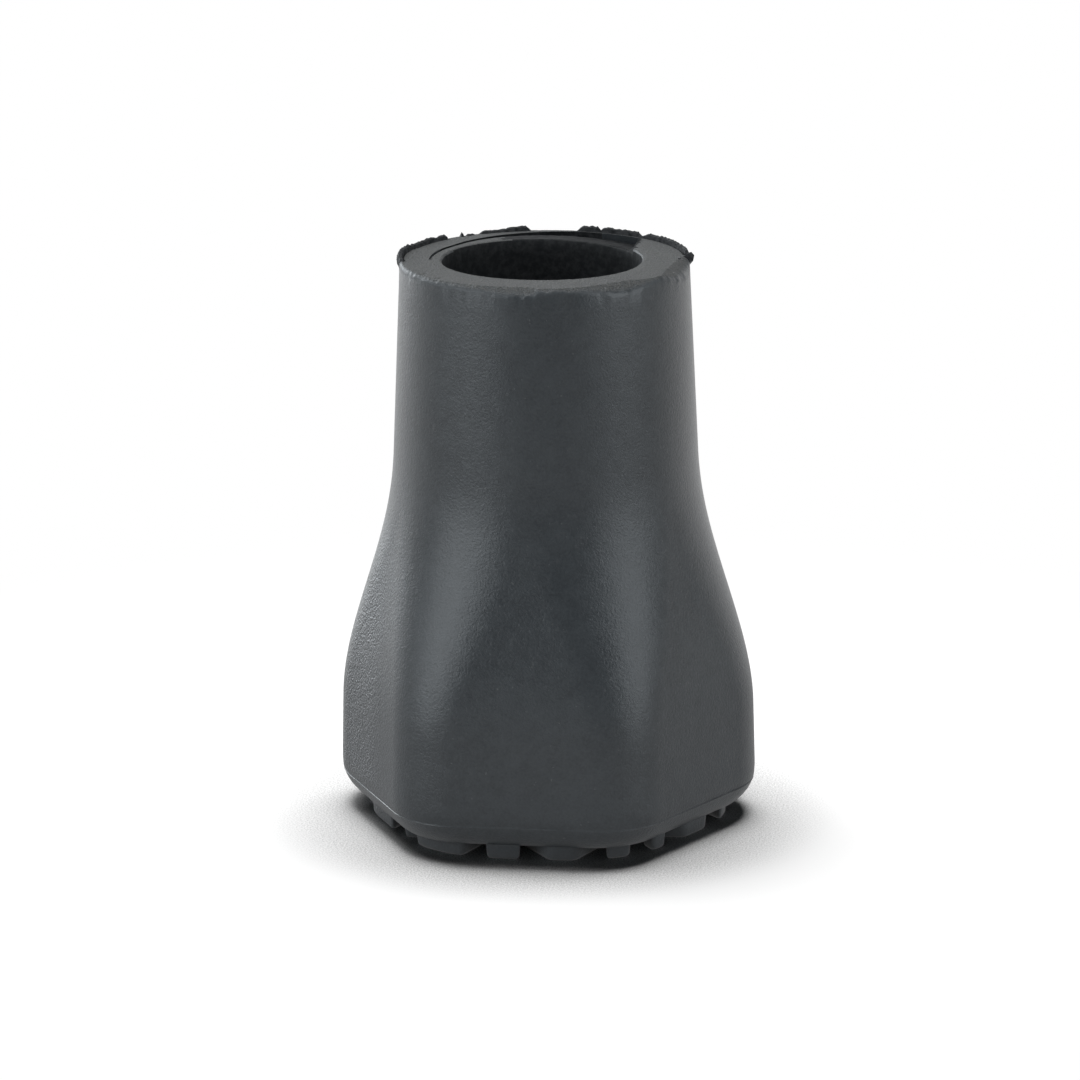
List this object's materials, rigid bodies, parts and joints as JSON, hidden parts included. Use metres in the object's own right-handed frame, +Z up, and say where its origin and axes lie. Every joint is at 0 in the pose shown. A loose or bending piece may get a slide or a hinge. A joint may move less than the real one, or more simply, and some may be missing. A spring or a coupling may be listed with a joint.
{
  "type": "trekking pole tip",
  "caption": "Moulded rubber walking foot for a pole: round neck with a blind socket, flare to a rounded hexagon, chamfered sole with grooved tread lugs.",
  "frame": {"origin": "on the ground at the centre of the tread, under the neck's axis", "axes": "+Z up along the neck and socket, towards the rim; -Y out of one flat of the hexagon; +X towards one of its corners"},
  "size_m": [0.0312, 0.0286, 0.0424],
  "materials": {
    "rubber": "matte moulded rubber, charcoal"
  },
  "bodies": {
    "root": {"rubber_tip": "rubber"}
  },
  "joints": []
}
